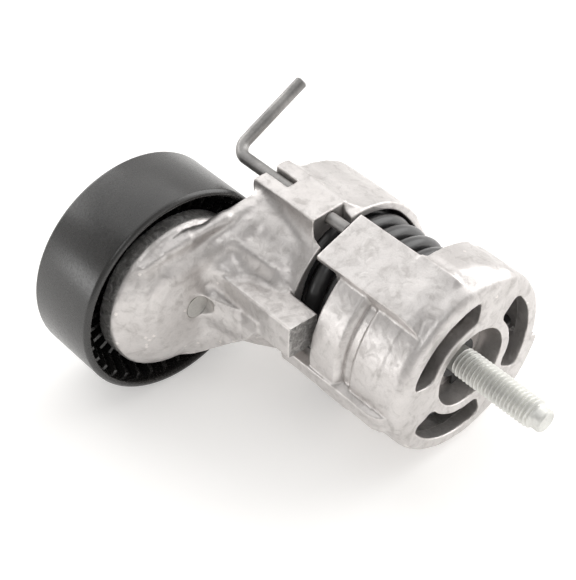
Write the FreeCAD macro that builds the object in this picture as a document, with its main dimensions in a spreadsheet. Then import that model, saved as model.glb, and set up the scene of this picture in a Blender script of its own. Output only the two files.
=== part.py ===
import FreeCAD, Part
import os, math

# Belt tensioner idler.
# Frame: origin on the pivot axis in the plane of the mounting face.
# The pivot axis runs along Y, the mounting face looks towards -Y, the pulley
# hangs out towards -X and +Z is up when the part lies on a bench.

V = FreeCAD.Vector
doc = FreeCAD.newDocument("BeltTensioner")
sheet = doc.addObject("Spreadsheet::Sheet", "dims")

D = {
 # layout
 "arm_x": 47.0, "arm_z": 3.1,
 # base housing
 "drum_ro": 32.0, "drum_ri": 28.5, "drum_len": 19.5, "face_thick": 5.0, "edge_round": 3.8,
 "hub_ro": 17.0, "hub_recess_ro": 14.0, "hub_recess_len": 9.0, "hub_len": 30.0, "tube_seat_ro": 9.5,
 "slot_ri": 17.0, "slot_ro": 25.4, "slot_sweep": 74.0,
 "skirt_ri": 29.4, "skirt_ro": 32.0, "band_ro": 33.8, "band_from": 25.5, "skirt_len": 36.1, "skirt_sweep": 180.0,
 "catch_wide": 19.5, "catch_low": 27.6, "catch_top": 33.9, "catch_len": 46.0,
 "stop_wide": 7.5, "stop_low": 29.0, "stop_top": 34.6, "stop_len": 49.5,
 "key_ro": 32.3, "key_ri": 25.4, "key_thick": 5.0, "key_sweep": 34.0,
 # lock pin
 "pin_x": 8.5, "pin_z": 30.5, "pin_rad": 1.5, "pin_hole_rad": 1.65, "pin_tip": 46.3, "pin_corner": 97.0, "pin_bend": 5.0, "pin_leg": 31.5,
 # arm
 "cup_ro": 29.5, "cup_ri": 26.7, "cup_front": 50.6, "cup_back": 78.0, "cup_floor": 74.0, "sleeve_ro": 15.0, "sleeve_ri": 11.6, "sleeve_front": 31.0,
 "disc_ro": 27.0, "disc_front": 81.5, "disc_back": 88.0, "stub_ro": 11.0, "stub_back": 90.2, "screw_hole_rad": 4.05,
 "block_front": 38.5,
 # pivot
 "tube_ro": 9.45, "tube_ri": 5.6, "tube_front": 9.0, "tube_back": 81.6,
 "bush_ri": 9.5, "bush_ro": 11.55, "bush_long": 20.0,
 "plate_ro": 21.0, "plate_thick": 2.2, "lining_ro": 20.5, "lining_thick": 1.2,
 # spring
 "coil_mean": 23.0, "wire_rad": 2.8, "coil_pitch": 7.1, "coil_turns": 8.7, "coil_start": 7.9,
 # mounting bolt
 "bolt_rad": 4.92, "bolt_tip_rad": 3.9, "bolt_shank_rad": 4.6, "bolt_out": 30.0, "bolt_head_rad": 8.2, "bolt_flange_rad": 9.4, "bolt_head_long": 10.0,
 # pulley and bearing
 "rim_ro": 36.6, "rim_ri": 34.1, "rim_front": 82.35, "rim_wide": 27.0, "web_thick": 3.0, "nave_ri": 20.0, "nave_ro": 23.2,
 "race_bore": 8.5, "race_mid": 14.25, "ball_rad": 3.35, "race_wide": 12.0, "bearing_front": 90.2,
}
# the aliases go in as plain numbers, one row each
aliases = {}
for i, (k, v) in enumerate(D.items()):
    sheet.set("A%d" % (i + 1), k)
    sheet.set("B%d" % (i + 1), repr(float(v)))
    sheet.setAlias("B%d" % (i + 1), k)
doc.recompute()


def num(expr):
    # value of a sum such as "rim_front + rim_wide - 2.5"
    total, sign = 0.0, 1.0
    for tok in expr.replace("-", " - ").replace("+", " + ").split():
        if tok == "+":
            sign = 1.0
        elif tok == "-":
            sign = -1.0
        else:
            total += sign * (D[tok] if tok in D else float(tok))
            sign = 1.0
    return total


def bound(expr):
    # the same sum as a spreadsheet expression in millimetres
    out = []
    for tok in expr.replace("-", " - ").replace("+", " + ").split():
        if tok in ("+", "-"):
            out.append(tok)
        elif tok in D:
            out.append("dims." + tok)
        else:
            out.append(tok)
    return " ".join(out)


def plane(body, role):
    return [f for f in body.Origin.OriginFeatures if f.Role == role][0]


def new_body(label):
    b = doc.addObject("PartDesign::Body", label)
    b.Label = label
    return b


def profile(body, name, pts, role="XY_Plane", offset=None):
    # closed polygon whose every corner is dimensioned from the sketch origin
    sk = body.newObject("Sketcher::SketchObject", name)
    sk.AttachmentSupport = [(plane(body, role), "")]
    sk.MapMode = "FlatFace"
    if offset is not None:
        sk.AttachmentOffset = offset
    xy = [(num(a), num(b)) for a, b in pts]
    n = len(xy)
    for i in range(n):
        a, b = xy[i], xy[(i + 1) % n]
        sk.addGeometry(Part.LineSegment(V(a[0], a[1], 0), V(b[0], b[1], 0)), False)
    import Sketcher
    for i in range(n):
        sk.addConstraint(Sketcher.Constraint("Coincident", i, 2, (i + 1) % n, 1))
    for i in range(n):
        for kind, expr, val in (("DistanceX", pts[i][0], xy[i][0]), ("DistanceY", pts[i][1], xy[i][1])):
            if abs(val) < 1e-9:
                c = sk.addConstraint(Sketcher.Constraint("PointOnObject", i, 1, -2 if kind == "DistanceX" else -1))
                continue
            c = sk.addConstraint(Sketcher.Constraint(kind, -1, 1, i, 1, val))
            sk.setExpression("Constraints[%d]" % c, bound(expr))
    return sk


def turn(body, name, pts, angle=360.0, cut=False, azimuth=None, at=(0, 0, 0), angle_alias=None):
    # (radius, axial) profile turned about the Y direction; azimuth is the middle of a part turn
    off = FreeCAD.Placement(V(*at), FreeCAD.Rotation(V(0, 1, 0), -(azimuth or 0.0)))
    sk = profile(body, name + "_sketch", pts, "XY_Plane", off)
    f = body.newObject("PartDesign::Groove" if cut else "PartDesign::Revolution", name)
    f.Profile = (sk, [""])
    f.ReferenceAxis = (sk, ["V_Axis"])
    f.Angle = angle
    if angle_alias:
        f.setExpression("Angle", "dims." + angle_alias)
    if azimuth is not None:
        f.Midplane = True
    body.Tip = f
    doc.recompute()
    return f


def lug(body, name, pts, wide, azimuth, cut=False):
    # (axial, height) profile, width centred on the azimuth
    off = FreeCAD.Placement(V(0, 0, 0), FreeCAD.Rotation(V(1, 0, 0), 90.0 - azimuth))
    sk = profile(body, name + "_sketch", pts, "YZ_Plane", off)
    f = body.newObject("PartDesign::Pocket" if cut else "PartDesign::Pad", name)
    f.Profile = (sk, [""])
    f.Midplane = True
    f.Length = num(wide)
    f.setExpression("Length", bound(wide))
    body.Tip = f
    doc.recompute()
    return f


def block(body, name, pts, y0, y1, cut=False):
    # (x, z) polygon between two axial stations
    off = FreeCAD.Placement(V(0, 0, -(num(y0) if cut else num(y1))), FreeCAD.Rotation())
    sk = profile(body, name + "_sketch", pts, "XZ_Plane", off)
    f = body.newObject("PartDesign::Pocket" if cut else "PartDesign::Pad", name)
    f.Profile = (sk, [""])
    f.Length = num(y1) - num(y0)
    f.setExpression("Length", bound(y1) + " - (" + bound(y0) + ")")
    body.Tip = f
    doc.recompute()
    return f


def hole(body, name, x, z, rad, y0, y1):
    # round hole along Y between two stations
    import Sketcher
    sk = body.newObject("Sketcher::SketchObject", name + "_sketch")
    sk.AttachmentSupport = [(plane(body, "XZ_Plane"), "")]
    sk.MapMode = "FlatFace"
    sk.AttachmentOffset = FreeCAD.Placement(V(x, z, -num(y0)), FreeCAD.Rotation())
    sk.addGeometry(Part.Circle(V(0, 0, 0), V(0, 0, 1), num(rad)), False)
    sk.addConstraint(Sketcher.Constraint("Coincident", 0, 3, -1, 1))
    c = sk.addConstraint(Sketcher.Constraint("Radius", 0, num(rad)))
    sk.setExpression("Constraints[%d]" % c, bound(rad))
    f = body.newObject("PartDesign::Pocket", name)
    f.Profile = (sk, [""])
    f.Length = num(y1) - num(y0)
    f.setExpression("Length", bound(y1) + " - (" + bound(y0) + ")")
    body.Tip = f
    doc.recompute()
    return f


def round_edges(body, base, name, radius, test):
    names = []
    for i, e in enumerate(base.Shape.Edges):
        if test(e):
            names.append("Edge%d" % (i + 1))
    if not names:
        print("no edge found for", name)
        return base
    f = body.newObject("PartDesign::Fillet", name)
    f.Base = (base, names)
    f.Radius = num(radius)
    f.setExpression("Radius", bound(radius))
    body.Tip = f
    doc.recompute()
    return f


def ring_edge(y, r, tol=0.05):
    def test(e):
        c = e.Curve
        return hasattr(c, "Radius") and abs(c.Radius - r) < tol and abs(c.Center.y - y) < tol and abs(abs(c.Axis.y) - 1) < 1e-3
    return test


parts = []
ARM = (-D["arm_x"], 0, D["arm_z"])


def keep(obj, label=None):
    if label:
        obj.Label = label
    parts.append(obj)
    return obj


# ------------------------------------------------------------------ base housing
b = new_body("base_housing")
f = turn(b, "drum", [("drum_ro", "0"), ("drum_ro", "drum_len"), ("drum_ri", "drum_len"), ("drum_ri", "face_thick"),
                     ("hub_ro", "face_thick"), ("hub_ro", "hub_len"), ("tube_seat_ro", "hub_len"), ("tube_seat_ro", "hub_recess_len"),
                     ("hub_recess_ro", "hub_recess_len"), ("hub_recess_ro", "0")])
f = round_edges(b, f, "front_round", "edge_round", ring_edge(0, D["drum_ro"]))
f = turn(b, "skirt", [("skirt_ro", "10"), ("skirt_ro", "skirt_len"), ("skirt_ri", "skirt_len"), ("skirt_ri", "10")],
         azimuth=208.0, angle_alias="skirt_sweep")
f = turn(b, "band", [("band_ro", "band_from"), ("band_ro", "skirt_len"), ("skirt_ri", "skirt_len"), ("skirt_ri", "band_from")],
         azimuth=208.0, angle_alias="skirt_sweep")
f = lug(b, "catch_lug", [("4.5", "catch_low"), ("catch_len", "catch_low"), ("catch_len", "catch_top"), ("9", "catch_top"),
                         ("5.5", "catch_top - 1.0"), ("3.2", "catch_top - 3.4")], "catch_wide", 111.0)
f = lug(b, "stop_lug", [("12", "stop_low"), ("stop_len", "stop_low"), ("stop_len", "stop_top"), ("15", "stop_top"),
                        ("11", "stop_top - 1.2"), ("8.5", "stop_top - 4.0")], "stop_wide", 193.0)
f = turn(b, "locating_key", [("key_ro", "0"), ("key_ro", "key_thick"), ("key_ri", "key_thick"), ("key_ri", "0")],
         azimuth=-29.0, angle_alias="key_sweep")
v0 = f.Shape.Volume
slot = turn(b, "face_slot", [("slot_ro", "0"), ("slot_ro", "face_thick + 1"), ("slot_ri", "face_thick + 1"), ("slot_ri", "0")],
            azimuth=6.0, cut=True, angle_alias="slot_sweep")
print("slot removes", v0 - slot.Shape.Volume)
pat = b.newObject("PartDesign::PolarPattern", "face_slots")
pat.Originals = [slot]
pat.Axis = (slot.Profile[0], ["V_Axis"])
pat.Angle = 360
pat.Occurrences = 3
b.Tip = pat
doc.recompute()
print("three slots remove", v0 - pat.Shape.Volume)
v0 = pat.Shape.Volume
f = hole(b, "pin_hole", -D["pin_x"], D["pin_z"], "pin_hole_rad", "catch_len - 12", "catch_len + 1")
print("pin hole removes", v0 - f.Shape.Volume)
keep(b)

# ------------------------------------------------------------------ tensioner arm
a = new_body("tensioner_arm")
f = turn(a, "cup", [("cup_ro", "cup_front"), ("cup_ro", "cup_back"), ("sleeve_ri", "cup_back"), ("sleeve_ri", "sleeve_front"),
                    ("sleeve_ro", "sleeve_front"), ("sleeve_ro", "cup_floor"), ("cup_ri", "cup_floor"), ("cup_ri", "cup_front")])
f = round_edges(a, f, "cup_round", "3.0", ring_edge(D["cup_back"], D["cup_ro"]))


def section(body, name, pts, y):
    return profile(body, name, pts, "XZ_Plane", FreeCAD.Placement(V(0, 0, -num(y)), FreeCAD.Rotation()))


s1 = section(a, "web_front", [("-22", "3"), ("-29", "3"), ("-33", "7"), ("-33", "15"), ("-29", "20.5"), ("-21", "21.5")], "52.5")
s2 = section(a, "web_back", [("-14", "-20"), ("-43", "-20"), ("-50", "-11"), ("-50", "17"), ("-43", "28.5"), ("-14", "28.5")], "79.5")
loft = a.newObject("PartDesign::AdditiveLoft", "arm_web")
loft.Profile = (s1, [""])
loft.Sections = [(s2, [""])]
loft.Ruled = True
a.Tip = loft
doc.recompute()
f = turn(a, "disc", [("0", "disc_front - 8.0"), ("5.2", "disc_front - 8.0"), ("13", "disc_front - 7.0"), ("20", "disc_front - 4.6"), ("25", "disc_front - 1.4"),
                     ("disc_ro", "disc_front + 1.2"), ("disc_ro", "disc_back"), ("24", "disc_back"), ("24", "disc_front + 2.2"), ("stub_ro + 1.5", "disc_front + 1.0"),
                     ("stub_ro", "stub_back"), ("0", "stub_back")], at=ARM)
f = block(a, "stop_block", [("-29.2", "0.8"), ("-39.9", "1.8"), ("-38.9", "13.6"), ("-28.4", "12.0")], "block_front", "76")
f = block(a, "pin_boss", [("-15.2", "24"), ("-15.2", "32.9"), ("-1.6", "32.9"), ("1.0", "26")], "54.5", "81.4")
f = block(a, "arm_back", [("-26", "-19"), ("-14", "-19"), ("-14", "27"), ("-26", "27")], "73", "79.5")
# the spring space and the pulley rim's path are cleared again
f = turn(a, "spring_space", [("cup_ri", "30"), ("cup_ri", "cup_floor"), ("sleeve_ro", "cup_floor"), ("sleeve_ro", "30")], cut=True)
f = turn(a, "rim_path", [("rim_ri - 1.2", "rim_front - 0.75"), ("rim_ro + 1.0", "rim_front - 0.75"), ("rim_ro + 1.0", "95"), ("rim_ri - 1.2", "95")], cut=True, at=ARM)
f = turn(a, "sleeve_bore", [("sleeve_ri", "30"), ("sleeve_ri", "84"), ("0", "84"), ("0", "30")], cut=True)
f = turn(a, "plate_space", [("22.5", "cup_back"), ("22.5", "86"), ("0", "86"), ("0", "cup_back")], cut=True)
f = hole(a, "pin_bore", -D["pin_x"], D["pin_z"], "pin_hole_rad", "50", "84")
# the rear part of the pin's path is an open channel
f = block(a, "pin_channel", [("-8.5 - 1.65", "30.5"), ("-8.5 - 1.65", "34"), ("-8.5 + 1.65", "34"), ("-8.5 + 1.65", "30.5")], "71.5", "84", cut=True)
f = block(a, "rim_notch", [("-15.6", "22"), ("-15.6", "34"), ("-3.0", "34"), ("-3.0", "22")], "cup_front - 1", "54.5", cut=True)
f = hole(a, "screw_bore", -D["arm_x"], D["arm_z"], "screw_hole_rad", "70", "92")
keep(a)

# ------------------------------------------------------------------ pivot parts
t = new_body("pivot_tube")
turn(t, "tube", [("tube_ro", "tube_front"), ("tube_ro", "tube_back"), ("tube_ri", "tube_back"), ("tube_ri", "tube_front")])
keep(t)
for nm, y0, y1 in (("front_bush", "32", "32 + bush_long"), ("rear_bush", "56", "56 + bush_long")):
    t = new_body(nm)
    turn(t, "sleeve", [("bush_ri", y0), ("bush_ri", y1), ("bush_ro", y1), ("bush_ro", y0)])
    keep(t)
t = new_body("friction_lining")
turn(t, "ring", [("12", "cup_back + 0.05"), ("12", "cup_back + lining_thick"), ("lining_ro", "cup_back + lining_thick"), ("lining_ro", "cup_back + 0.05")])
keep(t)
t = new_body("end_plate")
turn(t, "plate", [("bush_ri", "cup_back + lining_thick"), ("bush_ri", "cup_back + lining_thick + plate_thick"),
                  ("plate_ro - 1", "cup_back + lining_thick + plate_thick"), ("plate_ro", "cup_back + lining_thick + plate_thick - 0.9"), ("plate_ro", "cup_back + lining_thick")])
keep(t)
# plastic ring the spring's rear coil bears on, seated on the cup floor
t = new_body("spring_seat")
turn(t, "seat", [("15.4", "cup_floor - 1.2"), ("15.4", "cup_floor"), ("26.4", "cup_floor"), ("26.4", "cup_floor - 1.2")])
keep(t)

# ------------------------------------------------------------------ torsion spring
p = D["coil_pitch"]; n = D["coil_turns"]; rm = D["coil_mean"]
helix = Part.makeHelix(p, p * n, rm)
circ = Part.Wire([Part.Edge(Part.Circle(V(rm, 0, 0), V(0, 1, 0), D["wire_rad"]))])
sweep = Part.Wire(helix.Edges).makePipeShell([circ], True, True)
spring = doc.addObject("Part::Feature", "torsion_spring")
spring.Shape = sweep
spring.Placement = FreeCAD.Placement(V(0, D["coil_start"], 0), FreeCAD.Rotation(V(1, 0, 0), -90))
keep(spring, "torsion_spring")

# ------------------------------------------------------------------ mounting bolt
t = new_body("mounting_bolt")
turn(t, "shank", [("0", "0"), ("bolt_tip_rad - 0.5", "0"), ("bolt_tip_rad", "0.6"), ("bolt_tip_rad", "3.2"), ("bolt_rad", "4.2"), ("bolt_rad", "bolt_out + 4"), ("bolt_shank_rad", "bolt_out + 4.6"),
                  ("bolt_shank_rad", "bolt_out + tube_back"), ("bolt_flange_rad", "bolt_out + tube_back"), ("bolt_flange_rad", "bolt_out + tube_back + 1.6"),
                  ("bolt_head_rad", "bolt_out + tube_back + 2.2"), ("bolt_head_rad", "bolt_out + tube_back + bolt_head_long - 0.6"), ("bolt_head_rad - 0.6", "bolt_out + tube_back + bolt_head_long"),
                  ("0", "bolt_out + tube_back + bolt_head_long")])
yb = D["bolt_out"] + D["tube_back"] + D["bolt_head_long"]
off = FreeCAD.Placement(V(0, 0, -(yb - 6.0)), FreeCAD.Rotation())
hexpts = [(repr(round(4.62 * math.cos(math.radians(60 * i + 30)), 4)), repr(round(4.62 * math.sin(math.radians(60 * i + 30)), 4))) for i in range(6)]
sk = t.newObject("Sketcher::SketchObject", "socket_sketch")
sk.AttachmentSupport = [(plane(t, "XZ_Plane"), "")]
sk.MapMode = "FlatFace"
sk.AttachmentOffset = off
hx = [(float(u), float(w)) for u, w in hexpts]
for i in range(6):
    q, w = hx[i], hx[(i + 1) % 6]
    sk.addGeometry(Part.LineSegment(V(q[0], q[1], 0), V(w[0], w[1], 0)), False)
f = t.newObject("PartDesign::Pocket", "hex_socket")
f.Profile = (sk, [""])
f.Length = 6.5
t.Tip = f
t.Placement = FreeCAD.Placement(V(0, -D["bolt_out"], 0), FreeCAD.Rotation())
t.setExpression("Placement.Base.y", "0 mm - dims.bolt_out * 1 mm")
doc.recompute()
keep(t)

# clip collar that keeps the bolt in the housing until it is fitted
t = new_body("bolt_retainer")
turn(t, "collar", [("bolt_shank_rad + 0.06", "hub_recess_len - 3.2"), ("bolt_shank_rad + 0.06", "hub_recess_len - 1.0"), ("bolt_rad + 2.2", "hub_recess_len - 1.0"), ("bolt_rad + 2.2", "hub_recess_len - 3.2")])
turn(t, "ears", [("bolt_rad + 0.5", "hub_recess_len - 1.8"), ("bolt_rad + 0.5", "hub_recess_len - 1.0"), ("hub_recess_ro - 0.4", "hub_recess_len - 1.0"), ("hub_recess_ro - 0.4", "hub_recess_len - 1.8")],
     angle=26.0, azimuth=165.0)
f = doc.getObject(t.Tip.Name)
pt = t.newObject("PartDesign::PolarPattern", "ears_round")
pt.Originals = [f]
pt.Axis = (f.Profile[0], ["V_Axis"])
pt.Angle = 360
pt.Occurrences = 3
t.Tip = pt
doc.recompute()
keep(t)

# ------------------------------------------------------------------ lock pin
leg = math.radians(25.7)
px, pz = -D["pin_x"], D["pin_z"]
R = D["pin_bend"]
yc = D["pin_corner"]
dirv = V(math.cos(leg), 0, math.sin(leg))
p0 = V(px, D["pin_tip"], pz)
p1 = V(px, yc - R, pz)
cen = p1 + dirv * R
p2 = cen + V(0, R, 0)
mid = cen + (V(0, 1, 0) - dirv) * (R / math.sqrt(2.0))
p3 = V(px, yc, pz) + dirv * D["pin_leg"]
path = Part.Wire([Part.LineSegment(p0, p1).toShape(), Part.Arc(p1, mid, p2).toShape(), Part.LineSegment(p2, p3).toShape()])
prof = Part.Wire([Part.Edge(Part.Circle(p0, V(0, 1, 0), D["pin_rad"]))])
pin = doc.addObject("Part::Feature", "lock_pin")
pin.Shape = path.makePipeShell([prof], True, True)
pin.Placement = FreeCAD.Placement()
keep(pin, "lock_pin")

# ------------------------------------------------------------------ idler pulley


def at_pulley(body, y_alias="rim_front"):
    body.Placement = FreeCAD.Placement(V(-D["arm_x"], D[y_alias], D["arm_z"]), FreeCAD.Rotation())
    body.setExpression("Placement.Base.x", "0 mm - dims.arm_x * 1 mm")
    body.setExpression("Placement.Base.y", "dims.%s * 1 mm" % y_alias)
    body.setExpression("Placement.Base.z", "dims.arm_z * 1 mm")
    doc.recompute()
    keep(body)


t = new_body("idler_pulley")
# web sits behind the middle so that the arm's disc can sink into the front
turn(t, "rim", [("rim_ro - 0.9", "0"), ("rim_ro", "0.9"), ("rim_ro", "rim_wide - 0.9"), ("rim_ro - 0.9", "rim_wide"), ("rim_ri + 0.4", "rim_wide"), ("rim_ri", "rim_wide - 1.2"),
                ("rim_ri", "16.6"), ("nave_ro", "16.6"), ("nave_ro", "22.2"), ("nave_ri", "22.2"), ("nave_ri", "6.9"), ("nave_ro", "6.9"), ("nave_ro", "13.6"),
                ("rim_ri", "13.6"), ("rim_ri", "1.2"), ("rim_ri + 0.4", "0")])
sk = profile(t, "rib_sketch", [("nave_ro - 0.8", "9.2"), ("rim_ri - 4.4", "9.2"), ("rim_ri - 1.6", "3.0"), ("rim_ri + 0.6", "3.0"), ("rim_ri + 0.6", "22.4"), ("nave_ro - 0.8", "20.4")], "XY_Plane")
rib = t.newObject("PartDesign::Pad", "rib")
rib.Profile = (sk, [""])
rib.Midplane = True
rib.Length = 1.3
t.Tip = rib
doc.recompute()
pt = t.newObject("PartDesign::PolarPattern", "ribs")
pt.Originals = [rib]
pt.Axis = (sk, ["V_Axis"])
pt.Angle = 360
pt.Occurrences = 36
t.Tip = pt
doc.recompute()
at_pulley(t)

# ------------------------------------------------------------------ bearing, 17 x 40 x 12
def raceway(bd, name, r0, r1, groove_r):
    turn(bd, name, [(r0, "0"), (r1, "0"), (r1, "race_wide"), (r0, "race_wide")])
    # ball groove, a torus cut
    import Sketcher
    sk = bd.newObject("Sketcher::SketchObject", name + "_groove_sketch")
    sk.AttachmentSupport = [(plane(bd, "XY_Plane"), "")]
    sk.MapMode = "FlatFace"
    sk.addGeometry(Part.Circle(V(D["race_mid"], 6.0, 0), V(0, 0, 1), groove_r), False)
    c1 = sk.addConstraint(Sketcher.Constraint("DistanceX", -1, 1, 0, 3, D["race_mid"]))
    sk.setExpression("Constraints[%d]" % c1, "dims.race_mid")
    sk.addConstraint(Sketcher.Constraint("DistanceY", -1, 1, 0, 3, 6.0))
    sk.addConstraint(Sketcher.Constraint("Radius", 0, groove_r))
    g = bd.newObject("PartDesign::Groove", name + "_groove")
    g.Profile = (sk, [""])
    g.ReferenceAxis = (sk, ["V_Axis"])
    g.Angle = 360
    bd.Tip = g
    doc.recompute()


t = new_body("bearing_outer_ring")
raceway(t, "outer", "17.0", "nave_ri - 0.02", D["ball_rad"] + 0.06)
at_pulley(t, "bearing_front")
t = new_body("bearing_inner_ring")
raceway(t, "inner", "race_bore", "11.5", D["ball_rad"] + 0.06)
at_pulley(t, "bearing_front")

# nine balls, separate solids
balls = []
for i in range(9):
    an = math.radians(40 * i)
    balls.append(Part.makeSphere(D["ball_rad"], V(D["race_mid"] * math.cos(an), 6.0, D["race_mid"] * math.sin(an))))
o = doc.addObject("Part::Feature", "bearing_balls")
o.Shape = Part.makeCompound(balls)
o.Placement = FreeCAD.Placement(V(-D["arm_x"], D["bearing_front"], D["arm_z"]), FreeCAD.Rotation())
keep(o, "bearing_balls")
t = new_body("ball_cage")
turn(t, "cage", [("13.0", "1.9"), ("15.5", "1.9"), ("15.5", "10.1"), ("13.0", "10.1")])
ball_cut = t.newObject("PartDesign::SubtractiveCylinder", "ball_pocket")
ball_cut.Radius = D["ball_rad"] + 0.15
ball_cut.setExpression("Radius", "dims.ball_rad + 0.15")
ball_cut.Height = 5.0
ball_cut.Placement = FreeCAD.Placement(V(D["race_mid"] - 2.5, 6.0, 0), FreeCAD.Rotation(V(0, 1, 0), 90))
t.Tip = ball_cut
doc.recompute()
pt = t.newObject("PartDesign::PolarPattern", "pockets")
pt.Originals = [ball_cut]
pt.Axis = (plane(t, "Y_Axis"), [""])
pt.Angle = 360
pt.Occurrences = 9
t.Tip = pt
doc.recompute()
at_pulley(t, "bearing_front")
for nm, y in (("front_seal", "0.3"), ("rear_seal", "race_wide - 1.1")):
    t = new_body(nm)
    turn(t, "seal", [("11.7", y), ("16.98", y), ("16.98", y + " + 0.8"), ("11.7", y + " + 0.8")])
    at_pulley(t, "bearing_front")
t = new_body("bearing_spacer")
turn(t, "spacer", [("screw_hole_rad", "0"), ("race_bore - 0.02", "0"), ("race_bore - 0.02", "race_wide"), ("screw_hole_rad", "race_wide")])
at_pulley(t, "bearing_front")
# screw that clamps the inner ring to the arm; its tip is flush in the arm's front
t = new_body("pulley_screw")
turn(t, "screw", [("0", "0 - 16.7"), ("3.99", "0 - 16.7"), ("3.99", "race_wide"), ("8.9", "race_wide"), ("8.9", "race_wide + 1.5"), ("6.9", "race_wide + 1.9"), ("6.9", "race_wide + 4.6"), ("6.3", "race_wide + 5.2"), ("0", "race_wide + 5.2")])
at_pulley(t, "bearing_front")
# snap-in dust cap over the screw head
t = new_body("dust_cap")
turn(t, "cap", [("0", "17.9"), ("15.0", "17.9"), ("18.4", "16.9"), ("18.4", "13.0"), ("19.95", "13.0"), ("19.95", "17.4"), ("19.0", "18.2"), ("16.0", "19.0"), ("0", "19.0")])
at_pulley(t, "bearing_front")

doc.recompute()
bad = []
for o in doc.Objects:
    if any(s in ("Invalid", "Error") for s in o.State):
        bad.append((o.Name, o.State))
for o in parts:
    if o.Shape.isNull() or not o.Shape.isValid():
        bad.append((o.Label, "shape"))
if bad:
    raise RuntimeError("failed objects: %s" % bad)
os.makedirs("parts", exist_ok=True)
for o in parts:
    o.Shape.exportStep("parts/%s.step" % o.Label)
    bb = o.Shape.BoundBox
    print("%-20s solids %d vol %9.1f  x %.1f..%.1f y %.1f..%.1f z %.1f..%.1f" % (o.Label, len(o.Shape.Solids), o.Shape.Volume, bb.XMin, bb.XMax, bb.YMin, bb.YMax, bb.ZMin, bb.ZMax))
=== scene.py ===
import math
import bpy
import bmesh
import numpy as np
from mathutils import Matrix


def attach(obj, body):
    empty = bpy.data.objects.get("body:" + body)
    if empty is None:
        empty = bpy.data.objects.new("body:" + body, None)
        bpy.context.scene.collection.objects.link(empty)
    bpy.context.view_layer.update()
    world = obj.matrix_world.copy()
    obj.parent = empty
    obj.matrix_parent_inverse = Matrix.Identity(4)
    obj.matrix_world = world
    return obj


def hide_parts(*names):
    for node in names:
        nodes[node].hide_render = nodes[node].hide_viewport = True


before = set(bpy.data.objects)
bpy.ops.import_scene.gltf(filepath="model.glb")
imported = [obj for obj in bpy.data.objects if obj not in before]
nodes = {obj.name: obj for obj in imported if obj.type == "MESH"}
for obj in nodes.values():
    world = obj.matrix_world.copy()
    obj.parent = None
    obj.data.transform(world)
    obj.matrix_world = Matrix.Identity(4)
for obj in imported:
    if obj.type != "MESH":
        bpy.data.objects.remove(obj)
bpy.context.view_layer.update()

# Belt tensioner idler. Row frame: pivot axis along Y, mounting face at Y 0 looking to -Y,
# pulley towards -X, +Z up. Shapes are worked out in millimetres and written in metres.

MM = 0.001
ARM_X, ARM_Z = -47.0, 3.1
PI = math.pi


# ---------------------------------------------------------------- field tools
class Field:
    """A block of space in which a casting's signed distance is worked out."""

    def __init__(self, lo, hi, step):
        self.lo, self.step = np.array(lo, float), step
        ax = [np.arange(a, b + step, step, dtype=np.float32) for a, b in zip(lo, hi)]
        self.ax = ax
        self.x = ax[0][:, None, None]
        self.y = ax[1][None, :, None]
        self.z = ax[2][None, None, :]

    def ring(self, pts, cx=0.0, cz=0.0):
        """(radius, y) outline turned about an axis along Y."""
        rr = np.hypot(self.x - cx, self.z - cz)[:, 0, :]
        table_r = np.arange(0.0, float(rr.max()) + 0.4, 0.1, dtype=np.float32)
        tab = outline(table_r[:, None], self.ax[1][None, :], pts)
        q = rr / 0.1
        i0 = np.minimum(q.astype(np.int32), len(table_r) - 2)
        f = (q - i0)[..., None].astype(np.float32)
        out = tab[i0] * (1 - f) + tab[i0 + 1] * f
        return np.ascontiguousarray(out.transpose(0, 2, 1))

    def prism(self, pts, y0, y1):
        """(x, z) outline between two stations on Y."""
        d2 = outline(self.ax[0][:, None], self.ax[2][None, :], pts)[:, None, :]
        dy = np.abs(self.y - 0.5 * (y0 + y1)) - 0.5 * (y1 - y0)
        return np.maximum(d2, dy)

    def turned(self, azimuth):
        a = math.radians(azimuth)
        u = self.x * math.cos(a) + self.z * math.sin(a)
        v = -self.x * math.sin(a) + self.z * math.cos(a)
        return u, v

    def sector(self, azimuth, half):
        """Negative inside a wedge round the Y axis."""
        u, v = self.turned(azimuth)
        h = math.radians(half)
        return np.abs(v) * math.cos(h) - u * math.sin(h)

    def lug(self, pts, azimuth, wide, taper=0.0):
        """(y, height) outline, given a width across the azimuth."""
        u, v = self.turned(azimuth)
        d2 = outline(self.y + 0 * u, u + 0 * self.y, pts)
        return np.maximum(d2, np.abs(v) - 0.5 * wide + taper * (u - 30.0))

    def bead(self, path, rads):
        """A round bead through points; its radius changes along the way."""
        d = None
        for i in range(len(path) - 1):
            a, b = np.array(path[i], float), np.array(path[i + 1], float)
            e = b - a
            wx, wy, wz = self.x - a[0], self.y - a[1], self.z - a[2]
            t = np.clip((wx * e[0] + wy * e[1] + wz * e[2]) / float(e @ e), 0, 1)
            dd = np.sqrt((wx - e[0] * t) ** 2 + (wy - e[1] * t) ** 2 + (wz - e[2] * t) ** 2)
            dd = dd - (rads[i] + (rads[i + 1] - rads[i]) * t)
            d = dd if d is None else soft_min(d, dd, 1.0)
        return d.astype(np.float32)

    def half(self, point, normal):
        n = np.array(normal, float)
        n /= np.linalg.norm(n)
        return (self.x - point[0]) * n[0] + (self.y - point[1]) * n[1] + (self.z - point[2]) * n[2]

    def ripple(self, size, amount, seed):
        """Slow unevenness of a cast surface."""
        rng = np.random.RandomState(seed)
        out = 0.0
        for _ in range(7):
            k = rng.normal(size=3)
            k *= (0.7 + 0.9 * rng.rand()) * 2 * PI / size / np.linalg.norm(k)
            out = out + np.sin(self.x * k[0] + self.y * k[1] + self.z * k[2] + rng.rand() * 6.28)
        return (out * (amount / 2.6)).astype(np.float32)


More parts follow.
